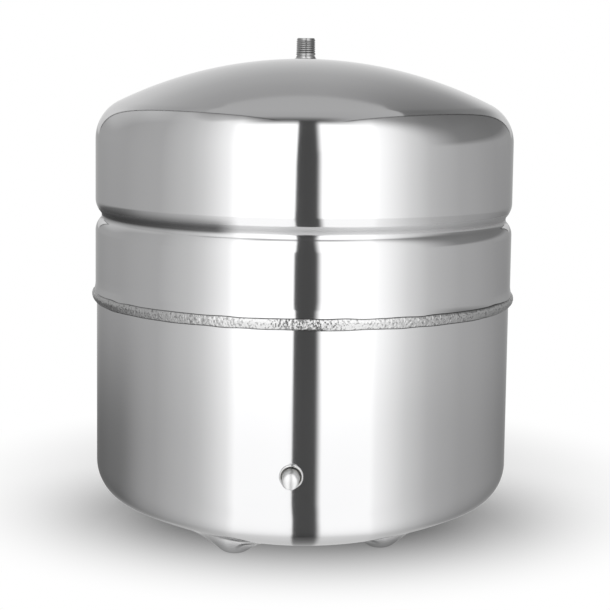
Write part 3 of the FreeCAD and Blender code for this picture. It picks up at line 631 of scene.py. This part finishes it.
# %% Turn the cap
CAP_FOOT, CAP_FLOOR, CAP_END = 3.3, 14.3, 16.0
CAP_RADIUS, CAP_BORE, CAP_RIM, CAP_DOME = 5.3, 3.95, 1.3, 9.5
cap_line = chain(
    (CAP_BORE, CAP_FOOT + 0.15, CAP_BORE + 0.15, CAP_FOOT, 2),
    (CAP_RADIUS - 0.2, CAP_FOOT, CAP_RADIUS, CAP_FOOT + 0.2, 3),
    (CAP_RADIUS, CAP_FOOT + 0.4, CAP_RADIUS, CAP_END - 2.5, 8),
    bend(CAP_RADIUS - CAP_RIM, CAP_END - 2.4, CAP_RIM, 0, 64, 12),
    bend(0, CAP_END - CAP_DOME, CAP_DOME, 61.5, 90, 14),
    (0, CAP_FLOOR, 3.8, CAP_FLOOR, 4),
    (CAP_BORE, CAP_FLOOR - 0.15, CAP_BORE, CAP_FOOT + 0.3, 6),
)
cap = add_piece("valve_cap_turned", on_valve(turned(cap_line, 96)), "cap", "valve_cap")

# %% [markdown]
# ## The core's spring
#
# The coil that keeps the air valve shut is wound from round wire inside the core's barrel.
# Pressing the pin squeezes it against the barrel's end wall. The coil is drawn again here,
# as a wire along a helix.

# %% Wind the spring
SPRING_SEAT, SPRING_LENGTH, PIN_TRAVEL = 2.3, 4.1, 1.2
COIL_RADIUS, WIRE_RADIUS, COIL_PITCH = 0.88, 0.14, 0.66
COIL_POINTS, WIRE_SIDES = 150, 12


def coil():
    """A round wire along a helix. The height grows evenly with the turn, the wire's ring
    stands on the outward and upward directions, and each end closes to a point."""
    last = 2 * np.pi * (SPRING_LENGTH - 2 * WIRE_RADIUS) / COIL_PITCH
    turn = np.concatenate([[0], np.linspace(0, last, COIL_POINTS), [last]])[:, None]
    thick = np.full_like(turn, WIRE_RADIUS)
    thick[[0, -1]] = 0
    ring = angles_round(WIRE_SIDES)
    height = SPRING_SEAT + WIRE_RADIUS + COIL_PITCH * turn / (2 * np.pi) + thick * np.sin(ring)
    return carried_round(COIL_RADIUS + thick * np.cos(ring), turn, height)


spring = add_piece("core_spring_wound", on_valve(coil()), "tank", "core_spring", False)
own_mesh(spring)

# %% [markdown]
# ## The camera
#
# The picture was taken from a little above the tank's middle, almost straight at the air
# valve. The distance, height, tilt and lens were found by fitting the tank's outline. The
# shift is small on purpose, because views from other sides keep it.

# %% Place the camera
CAMERA_AZIMUTH = math.radians(2.3)
CAMERA_DISTANCE, CAMERA_HEIGHT = 1.2946, 0.3426
CAMERA_PITCH, CAMERA_ROLL = math.radians(7.04), 0.013
SENSOR, FOCAL_LENGTH = 36, 113.35
SHIFT_ACROSS, SHIFT_UP = 0.00338, -0.0492
UPWARDS = Vector((0, 0, 1))
towards = Vector((-math.sin(CAMERA_AZIMUTH), math.cos(CAMERA_AZIMUTH), 0))
sideways = Vector((math.cos(CAMERA_AZIMUTH), math.sin(CAMERA_AZIMUTH), 0))
ahead = math.cos(CAMERA_PITCH) * towards - math.sin(CAMERA_PITCH) * UPWARDS
above = sideways.cross(ahead)
right = math.cos(CAMERA_ROLL) * sideways + math.sin(CAMERA_ROLL) * above
up = math.cos(CAMERA_ROLL) * above - math.sin(CAMERA_ROLL) * sideways
lens = bpy.data.cameras.new("camera")
lens.sensor_width, lens.lens = SENSOR, FOCAL_LENGTH
lens.shift_x, lens.shift_y = SHIFT_ACROSS, SHIFT_UP
camera = add_object("camera", lens)
camera.matrix_world = Matrix((right, up, -ahead)).transposed().to_4x4()
camera.location = Vector((0, AXIS_SHIFT * MM, CAMERA_HEIGHT)) - CAMERA_DISTANCE * towards
bpy.context.scene.camera = camera
print("camera at", [round(value, 4) for value in camera.location])

# %% [markdown]
# ## Finishes as formulas
#
# Every finish is a small net of nodes. To keep the nets readable, a class wraps one
# output of a node, and adding or multiplying two of them adds the Math node that does
# it. A second class adds any other node from its type, its settings and its inputs.

# %% Values that do arithmetic
class Value:
    """One output of a node. Arithmetic with other values or numbers adds Math nodes."""

    def __init__(self, paint, socket):
        self.paint, self.socket = paint, socket

    def math(self, operation, *terms):
        return self.paint.node("ShaderNodeMath", {"operation": operation}, dict(enumerate(terms)))

    def least(self, other):
        """The smaller of this and another."""
        return self.math("MINIMUM", self, other)

    def most(self, other):
        """The larger of this and another."""
        return self.math("MAXIMUM", self, other)

    def part(self, name):
        """Another output of the same node."""
        return Value(self.paint, self.socket.node.outputs[name])

    def __add__(self, other):
        return self.math("ADD", self, other)

    def __sub__(self, other):
        return self.math("SUBTRACT", self, other)

    def __rsub__(self, other):
        return self.math("SUBTRACT", other, self)

    def __mul__(self, other):
        return self.math("MULTIPLY", self, other)

    def __truediv__(self, other):
        return self.math("DIVIDE", self, other)

    def __rtruediv__(self, other):
        return self.math("DIVIDE", other, self)

    def __neg__(self):
        return self.math("MULTIPLY", self, -1.0)

    def __abs__(self):
        return self.math("ABSOLUTE", self)

    __radd__, __rmul__ = __add__, __mul__


# %% [markdown]
# The second class holds the node tree. Besides its one method for nodes it has the few
# shapes that the finishes and the room are made of: a smooth step, a line through points,
# a blend and random heights.

# %% Trees that grow by a call
class Paint:
    """A node tree that grows by one node with each call."""

    def __init__(self, tree):
        self.tree = tree
        tree.nodes.clear()

    def node(self, kind, settings=None, inputs=None, output=0):
        """Add a node: its type, its settings, then its inputs, each a number, a colour
        or a Value to link. Gives one of its outputs."""
        made = self.tree.nodes.new(kind)
        for name, choice in (settings or {}).items():
            setattr(made, name, choice)
        for place, value in (inputs or {}).items():
            if isinstance(value, Value):
                self.tree.links.new(value.socket, made.inputs[place])
            else:
                made.inputs[place].default_value = value
        return Value(self, made.outputs[output]) if len(made.outputs) else None

    def vector(self, operation, a, b, output=0):
        """A Vector Math node on two vectors."""
        return self.node("ShaderNodeVectorMath", {"operation": operation}, {0: a, 1: b}, output)

    def ramp(self, value, low, high, top, kind="LINEAR"):
        """0 below low and top above high. Falls instead if low is over high."""
        limits = {"Value": value, "From Min": low, "From Max": high, "To Min": 0.0, "To Max": top}
        return self.node("ShaderNodeMapRange", {"interpolation_type": kind}, limits)

    def step(self, value, low, high):
        """A ramp from 0 to 1 that is smooth at both ends."""
        return self.ramp(value, low, high, 1.0, "SMOOTHSTEP")

    def curve(self, value, points):
        """A line through (value, height) points, level outside them: each stretch is a
        straight ramp that is clipped at its ends, and the ramps are added up."""
        total = points[0][1]
        for (low, start), (high, end) in zip(points, points[1:]):
            total = self.ramp(value, low, high, end - start) + total
        return total

    def blend(self, share, start, end):
        """The start where the share is 0 and the end where it is 1."""
        return start + share * (end - start)

    def grey(self, value):
        """A grey colour from a number."""
        return self.node("ShaderNodeCombineColor", None, {0: value, 1: value, 2: value})

    def noise(self, place, scale, stretch=(1, 1, 1), detail=2.0):
        """Smooth random heights between 0 and 1, finer along an axis whose stretch is over 1."""
        moved = self.vector("MULTIPLY", place, stretch)
        return self.node("ShaderNodeTexNoise", None, {"Vector": moved, "Scale": scale, "Detail": detail})


# %% [markdown]
# ## The steel and the other finishes
#
# One recipe serves every metal and rubber, because they differ only in colour, roughness
# and the size of their marks. The shells are polished along their turning direction, so
# the steel blurs its mirror picture up and down more than sideways. That is anisotropy,
# turned by a quarter. Fine marks that run round the tank wobble the surface a little. At
# grazing angles a metal mirrors almost everything. The edge tint holds that back, so that
# the tank's outline doesn't vanish in front of a white floor.

# %% One recipe for every metal and rubber
ROUND = (1, 1, 22)
EVEN = (1, 1, 1)
EDGE_TINT = 0.6
CLOUD_SIZE = 14.0
finishes = {}


def finish_of(name, colour, roughness, marks, depth, stretch=EVEN, metal=1.0, rub=0.0, **by_place):
    """Keep a finish under its name: its colour and roughness, the scale, depth in metres
    and stretch of its marks, its metal share, and how far it is blurred across its
    polishing marks. By place, one function may darken its colour (painted shade at the
    groove, burnt colour and painted shade at the weld's edges) and another may dull it."""
    material = bpy.data.materials.new(name)
    material.use_nodes = True
    paint = Paint(material.node_tree)
    place = paint.node("ShaderNodeTexCoord", output="Object")
    cloud = paint.noise(place, CLOUD_SIZE)
    shade = 0.97 + 0.06 * cloud
    if "darken" in by_place:
        shade = shade * by_place["darken"](paint, place)
    multiply = {"data_type": "RGBA", "blend_type": "MULTIPLY"}
    tint = paint.node("ShaderNodeMix", multiply, {0: 1.0, 6: (*colour, 1.0), 7: paint.grey(shade)}, 2)
    rough = roughness * (0.9 + 0.2 * cloud)
    if "dull" in by_place:
        rough = rough + by_place["dull"](paint, place)
    height = paint.noise(place, marks, stretch, 3.0) * depth
    bump = paint.node("ShaderNodeBump", None, {"Strength": 1.0, "Distance": 1.0, "Height": height})
    inputs = {"Base Color": tint, "Metallic": metal, "Roughness": rough, "Normal": bump}
    inputs["Specular Tint"] = (EDGE_TINT, EDGE_TINT, EDGE_TINT, 1.0)
    if rub:
        inputs.update({"Anisotropic": rub, "Anisotropic Rotation": 0.25})
    surface = paint.node("ShaderNodeBsdfPrincipled", None, inputs)
    paint.node("ShaderNodeOutputMaterial", None, {"Surface": surface})
    finishes[name] = material


# %% [markdown]
# The polishing wheel doesn't reach into the groove. Its upper flank is dull as it was
# rolled, all the way round, and its colour is made a little darker there: painted shade.
# Over a part of the turn at the left the colour is made much darker still, a painted shade
# for the dark that the groove mirrors there. Both are bands of height, soft at their
# edges, in the shell's own material: a separate ring of another steel would need an edge
# that the real shell doesn't have.

# %% What the groove does to the steel
FLANK = (223.2, 224.6, 228.5, 229.5)
PAINTED_SHADE_BAND = (222.0, 224.4, 226.5, 234.5)
FLANK_DULL, FLANK_PAINTED_SHADE, BAND_PAINTED_SHADE = 0.42, 0.14, 0.75


def band(paint, place, foot, low, high, top):
    """1 between two heights and 0 elsewhere, soft from foot to low and from high to top."""
    height = paint.node("ShaderNodeSeparateXYZ", None, {0: place}).part("Z") / MM
    return paint.step(height, foot, low) * paint.step(height, top, high)


def groove_painted_shade(paint, place):
    """Painted shade: 1 away from the groove, a little less on its flank, and much less in
    the painted dark band at the left front, which fades out by the place across and along
    the tank."""
    across = paint.node("ShaderNodeSeparateXYZ", None, {0: place})
    reach = paint.step(across / MM, -32.0, -50.0) * paint.step(across.part("Y") / MM, 90.0, 20.0)
    # Painted shade: the band at the left front and the flank are darkened in the steel's colour.
    dark = 1 - BAND_PAINTED_SHADE * band(paint, place, *PAINTED_SHADE_BAND) * reach
    return dark * (1 - FLANK_PAINTED_SHADE * band(paint, place, *FLANK))


def groove_dull(paint, place):
    """How much rougher the flank is than the polished steel."""
    return FLANK_DULL * band(paint, place, *FLANK)


# %% [markdown]
# A weld's two edges are dark in a thin line: partly burnt, and partly painted shade where
# the bead meets the sheets. Slag leaves small dark specks on it. The edges go by the share
# that was kept with the bead's mesh, and the specks are the low parts of a fine noise.

# %% What burning and painted shade do to the weld
SPECK_SIZE = 620.0


def weld_burn_and_shade(paint, place):
    """1 on clean weld metal, lower at both edges, which are burnt and carry painted shade, and
    in the specks.
    """
    share = paint.node("ShaderNodeAttribute", {"attribute_name": "share"}, output="Fac")
    # Both edges are darkened: partly burnt colour, partly painted shade where the bead meets the sheets.
    edge = paint.step(share, 0.0, 0.12) * paint.step(share, 1.0, 0.88)
    specks = paint.step(paint.noise(place, SPECK_SIZE, EVEN, 3.0), 0.36, 0.46)
    return 0.2 + 0.8 * edge * (0.45 + 0.55 * specks)


# %% [markdown]
# The finishes: bright stainless steel outside, zinc, brass and spring steel inside, a
# white plastic liner and black rubbers. The photograph doesn't show the inner ones.

# %% The finishes
def grey(level):
    """A plain grey."""
    return (level, level, level)


# The groove's painted shade darkens the polished steel, and its flank is also dull.
polish = {"rub": 0.6, "darken": groove_painted_shade, "dull": groove_dull}
finish_of("polished_stainless", (0.70, 0.70, 0.705), 0.08, 45.0, 4e-6, ROUND, **polish)
finish_of("weld_bead", grey(0.62), 0.16, 1100.0, 5e-5, darken=weld_burn_and_shade)
finish_of("nipple_weld", grey(0.6), 0.25, 900.0, 6e-5)
finish_of("nipple_steel", grey(0.4), 0.2, 500.0, 2e-5, rub=0.3)
finish_of("turned_stainless", grey(0.66), 0.16, 260.0, 8e-6, ROUND)
finish_of("zinc_hoop", (0.63, 0.64, 0.66), 0.34, 600.0, 1e-5)
finish_of("white_liner", (0.86, 0.86, 0.84), 0.42, 900.0, 4e-6, metal=0.0)
finish_of("butyl_rubber", grey(0.05), 0.55, 1500.0, 1e-5, metal=0.0)
finish_of("seal_rubber", grey(0.03), 0.5, 1500.0, 6e-6, metal=0.0)
finish_of("nickel_brass", (0.62, 0.61, 0.58), 0.22, 500.0, 5e-6, rub=0.4)
finish_of("core_brass", (0.72, 0.56, 0.28), 0.28, 700.0, 4e-6)
finish_of("spring_steel", grey(0.5), 0.3, 1200.0, 4e-6)
finish_of("cap_chrome", grey(0.72), 0.34, 300.0, 6e-6)

# %% [markdown]
# The pieces drawn here get their finish directly. The solids that are carried over from
# the construction model keep their meshes and get it on their material slots.

# %% Put the finishes on
DRESSED = {
    upper_shell: "polished_stainless",
    lower_shell: "polished_stainless",
    weld: "weld_bead",
    nipple: "nipple_steel",
    nipple_weld: "nipple_weld",
    boss: "turned_stainless",
    stem: "nickel_brass",
    cap: "cap_chrome",
    spring: "spring_steel",
}
CARRIED = {
    "white_liner": ["liner"],
    "butyl_rubber": ["diaphragm"],
    "zinc_hoop": ["clench_ring"],
    "core_brass": ["core_swivel", "core_barrel", "core_pin"],
    "seal_rubber": ["liner_seal", "stem_seal", "core_gasket", "core_washer", "cap_gasket"],
}
for piece, finish in DRESSED.items():
    piece.data.materials.clear()
    piece.data.materials.append(finishes[finish])
for finish, names in CARRIED.items():
    for name in names:
        for slot in nodes[name].material_slots:
            slot.material = finishes[finish]
        if not nodes[name].material_slots:
            nodes[name].data.materials.append(finishes[finish])
print("finishes:", len(finishes), "and new pieces:", len(DRESSED))

# %% [markdown]
# ## The studio that the steel mirrors
#
# A mirror shows its surroundings, so the room is as much a part of the look as the
# steel. It could be built from lit boards, but their edges would have to be found by
# trial. Instead, the room is written as a brightness for every direction, and each edge
# is where the photograph's edge is mirrored. Only reflections see this room.
#
# Three numbers name a direction: side counts to the right of the picture, front towards
# the camera and high from the floor, each from -1 to 1. The walls go by a fourth, aside,
# which is side / (1 + front). It stays the same all the way down the tank's wall and
# bowl. Under the horizon it shrinks a little towards the back, because the bowl's edge
# is rounder than the wall.

# %% Directions in the room
SHRINK = [(-0.95, 0.48), (-0.83, 0.64), (-0.7, 0.76), (-0.39, 0.87), (0.5, 1.0)]
world = bpy.data.worlds.new("studio")
world.use_nodes = True
bpy.context.scene.world = world
sky = Paint(world.node_tree)
step, curve, blend = sky.step, sky.curve, sky.blend
direction = sky.node("ShaderNodeTexCoord", output="Generated")
ways = (sideways, -towards, UPWARDS)
side, front, high = [sky.vector("DOT_PRODUCT", direction, way, "Value") for way in ways]
low = step(high, 0.0, -0.2)
aside = side / (front + 1.0).most(0.05) * blend(low, 1.0, curve(front, SHRINK))
print("nodes so far:", len(sky.tree.nodes))

# %% [markdown]
# On the camera's side stand two tall white cards. The grey walls beside them darken
# away from the cards, and darken again near the floor and, on the right, high up. They
# grow lighter again at the very back, which only the tank's rim mirrors.

# %% Cards and walls
CARD = 1.6
LEFT_WALL = [(-1.4, 0.48), (-0.87, 0.52), (-0.613, 0.71), (-0.523, 0.84), (-0.456, 1.0)]
LEFT_WALL += [(-0.37, 1.26), (-0.32, CARD)]
RIGHT_WALL = [(0.34, CARD), (0.37, 1.42), (0.456, 1.19), (0.554, 0.93), (0.706, 0.67)]
RIGHT_WALL += [(0.8, 0.6), (1.02, 0.51), (1.9, 0.43)]
RIGHT_SHADE = [(0.08, 0.0), (0.2, 0.7), (0.5, 0.76), (0.9, 1.0)]
RIM_LIGHT = [(1.5, 1.0), (2.2, 1.15), (3.0, 1.3), (4.5, 1.42)]
left_wall = curve(aside, LEFT_WALL)
left_wall = left_wall * (1 - 0.45 * step(aside, -0.85, -1.4) * step(high, -0.12, -0.22))
left_wall = left_wall * (1 - 0.3 * step(high, 0.8, 0.88) * step(front, 0.15, 0.0))
high_up = step(front, 0.4, -0.15) * curve(high, RIGHT_SHADE)
right_wall = curve(aside, RIGHT_WALL) * (1 - 0.65 * high_up)
walls = blend(step(side, -0.05, 0.05), left_wall, right_wall)
walls = walls * (1 - 0.15 * step(high, -0.15, -0.21)) * curve(abs(aside), RIM_LIGHT)
print("nodes so far:", len(sky.tree.nodes))

# %% [markdown]
# Behind and above lies a wedge of ceiling. Straight seams bound it: a direction is past a
# seam where a sum of side, front and high is over 0. The left wall is lit along its
# seam, and the top of the cards lies in shade.

# %% The walls' upper ends
left_seam = side - 0.487 * front + 0.24 * high
right_seam = -side - 0.426 * front + 0.32 * high
front_seam = 0.16 * high - front
near_left = curve(left_seam, [(-0.5, 0.0), (-0.02, 0.26)]) * step(side, 0.1, -0.1)
near_left = near_left * step(high, 0.1, 0.3) * step(high, 0.85, 0.6) * step(front, 0.0, -0.3)
card_top = step(front_seam, -0.28, 0.0) * step(high, 0.2, 0.6) * step(abs(side + 0.04), 0.46, 0.14)
walls = (walls + near_left) * (1 - 0.8 * card_top)
print("nodes so far:", len(sky.tree.nodes))

# %% [markdown]
# The ceiling is lightest low at the back and darkens upwards and to the right. It holds
# a lighter panel, and the edge over the cards is in shade.

# %% The ceiling and its panel
CEILING = [(0.05, 0.99), (0.17, 1.12), (0.26, 1.1), (0.34, 1.01), (0.42, 0.87)]
CEILING += [(0.5, 0.73), (0.64, 0.55), (0.71, 0.49)]
PANEL = [(0.7, 0.61), (0.9, 0.55), (1.0, 0.5)]
ceiling = curve(high, CEILING)
ceiling = ceiling * (1 + 0.1 * step(side, -0.05, -0.3) * step(high, 0.6, 0.35))
ceiling = ceiling * (1 - 0.55 * step(side, 0.02, 0.34) * step(high, 0.12, 0.4))
panel = step(front + 0.93 * high, -0.01, 0.01)
panel = panel * step(0.25 * high + 0.4 * (front + 0.95 * high) - abs(side), -0.008, 0.012)
ceiling = blend(panel, ceiling, curve(high, PANEL))
edge_shade = step(front_seam, 0.28, 0.02) * step(abs(side + 0.05), 0.36, 0.1)
ceiling = ceiling * (1 - 0.66 * edge_shade)
print("nodes so far:", len(sky.tree.nodes))

# %% [markdown]
# Between the cards is a dark gap, which is the dark strip down the tank's front. Its two
# edges wander a little with the height, the left one sharp and the right one softer. It
# ends at the front seam.

# %% The dark gap
GAP = 0.085
GAP_LEFT = [(-0.9, -0.035), (-0.2, -0.04), (-0.1, -0.04), (-0.05, -0.033), (0.8, -0.03)]
GAP_RIGHT = [(-0.9, 0.096), (-0.2, 0.09), (-0.08, 0.082), (0.0, 0.078), (0.8, 0.074)]
gap = step(aside - curve(high, GAP_LEFT), -0.003, 0.003)
gap = gap * step(aside - curve(high, GAP_RIGHT), 0.009, -0.028)
gap = gap * (1 - step(front_seam, -0.02, 0.02) * step(high, -0.1, 0.1))
print("nodes so far:", len(sky.tree.nodes))

# %% [markdown]
# The room is put together from its parts. Thin dark seams are drawn where the wedge of
# ceiling meets the walls. Low and far behind the tank everything runs into one grey.

# %% The whole room
UNDER = 0.62
seam = left_seam.least(right_seam)
wedge = step(seam, -0.005, 0.005) * step(front_seam, -0.008, 0.008) * step(high, -0.02, 0.02)
line = step(abs(seam), 0.02, 0.007) * step(front_seam, -0.05, 0.05) * step(high, 0.0, 0.08)
room = blend(wedge, walls, ceiling) * (1 - 0.85 * line)
room = blend(gap, room, GAP)
under = step(front, -0.74, -1.03) * low * step(abs(aside), 1.8, 0.9)
room = blend(under, room, UNDER)
print("nodes in the room:", len(sky.tree.nodes))

# %% [markdown]
# The world shows each kind of ray its own light. The camera sees plain white. Mirrored
# rays see the room. Matt surfaces get one even light, so that the shadow on the floor is
# soft. Light that a matt surface would get by way of the steel is left out: the
# photograph's shadow is darker under the tank than that light allows.

# %% Each ray's light
EVEN_LIGHT = 0.425
rays = sky.node("ShaderNodeLightPath", output="Is Camera Ray")
mirrored = room * (1 - rays.part("Diffuse Depth").least(1.0))
light = blend(rays.part("Is Glossy Ray"), EVEN_LIGHT, mirrored)
light = blend(rays.most(rays.part("Is Transmission Ray")), light, 1.0)
shown = sky.node("ShaderNodeBackground", None, {"Color": sky.grey(light), "Strength": 1.0})
sky.node("ShaderNodeOutputWorld", None, {"Surface": shown})
print("nodes in the world:", len(sky.tree.nodes))

# %% [markdown]
# ## One lamp overhead
#
# A round lamp over the tank lights the floor and leaves the soft shadow that the tank
# stands in. Its width sets how soft the shadow's edge is. It isn't seen in the steel,
# because the room has its own lights.

# %% Hang the lamp
LAMP_HEIGHT, LAMP_SIZE, LAMP_POWER = 0.8, 0.25, 3.3
lamp_light = bpy.data.lights.new("overhead", "AREA")
lamp_light.shape, lamp_light.size, lamp_light.energy = "DISK", LAMP_SIZE, LAMP_POWER
lamp = add_object("overhead", lamp_light)
lamp.location = (0.0, AXIS_SHIFT * MM, LAMP_HEIGHT)
lamp.visible_camera = lamp.visible_glossy = False
print("lamp at", list(lamp.location))

# %% [markdown]
# ## The floor
#
# A matt white floor that holds the tank's soft shadow. Away from the tank it turns into a
# plain white glow, so that it runs into the white background without a line. This glow is
# painted light: as it grows it lightens the real shadow, so its reach sets how far the
# shadow goes. The middle of the matt part lies behind the tank, as the photograph's shadow
# does.

# %% Lay the floor
FLOOR_HALF = 6.0
FLOOR_CENTRE, FLOOR_NARROW = (0.0, 0.179, 0.0), (1.127, 1.0, 1.0)
FLOOR_NEAR, FLOOR_FAR = 0.130, 0.344
floor_mesh = bpy.data.meshes.new("floor")
corners = [(FLOOR_HALF * x, FLOOR_HALF * y, 0) for x, y in ((-1, -1), (1, -1), (1, 1), (-1, 1))]
floor_mesh.from_pydata(corners, [], [(0, 1, 2, 3)])
floor = add_object("floor", floor_mesh)
floor_finish = bpy.data.materials.new("floor_white")
floor_finish.use_nodes = True
floor_mesh.materials.append(floor_finish)
paint = Paint(floor_finish.node_tree)
place = paint.node("ShaderNodeTexCoord", output="Object")
centred = paint.vector("MULTIPLY", paint.vector("SUBTRACT", place, FLOOR_CENTRE), FLOOR_NARROW)
away = paint.node("ShaderNodeVectorMath", {"operation": "LENGTH"}, {0: centred}, "Value")
matt = paint.node("ShaderNodeBsdfDiffuse", None, {"Color": (0.96, 0.96, 0.96, 1.0)})
glow = paint.node("ShaderNodeEmission", None, {"Color": (1.0, 1.0, 1.0, 1.0), "Strength": 1.0})
# Painted light: the glow's share grows from FLOOR_NEAR to FLOOR_FAR and lightens the shadow there.
outside = paint.step(away, FLOOR_NEAR, FLOOR_FAR)
white = paint.node("ShaderNodeMixShader", None, {0: outside, 1: matt, 2: glow})
print("floor's nodes so far:", len(paint.tree.nodes))

# %% [markdown]
# The steel mirrors the floor only where it is close, at the feet. Further off the rays go
# through it and meet the room, which has its own floor. Rays that start on a matt surface
# and meet the floor by way of the steel always go through.

# %% Let the far floor go from the reflections
MIRRORED_WITHIN, MIRRORED_FADE = 0.003, 0.026
rays = paint.node("ShaderNodeLightPath", output="Is Glossy Ray")
far_off = paint.step(rays.part("Ray Length"), MIRRORED_WITHIN, MIRRORED_FADE)
passed = rays * far_off.most(rays.part("Diffuse Depth").least(1.0))
unseen = paint.node("ShaderNodeBsdfTransparent", None, {"Color": (1.0, 1.0, 1.0, 1.0)})
shown = paint.node("ShaderNodeMixShader", None, {0: passed, 1: white, 2: unseen})
paint.node("ShaderNodeOutputMaterial", None, {"Surface": shown})
print("floor's nodes:", len(paint.tree.nodes))

# %% [markdown]
# ## Finish
#
# The view transform is set to Standard.

# %% Finish
bpy.context.scene.view_settings.view_transform = "Standard"
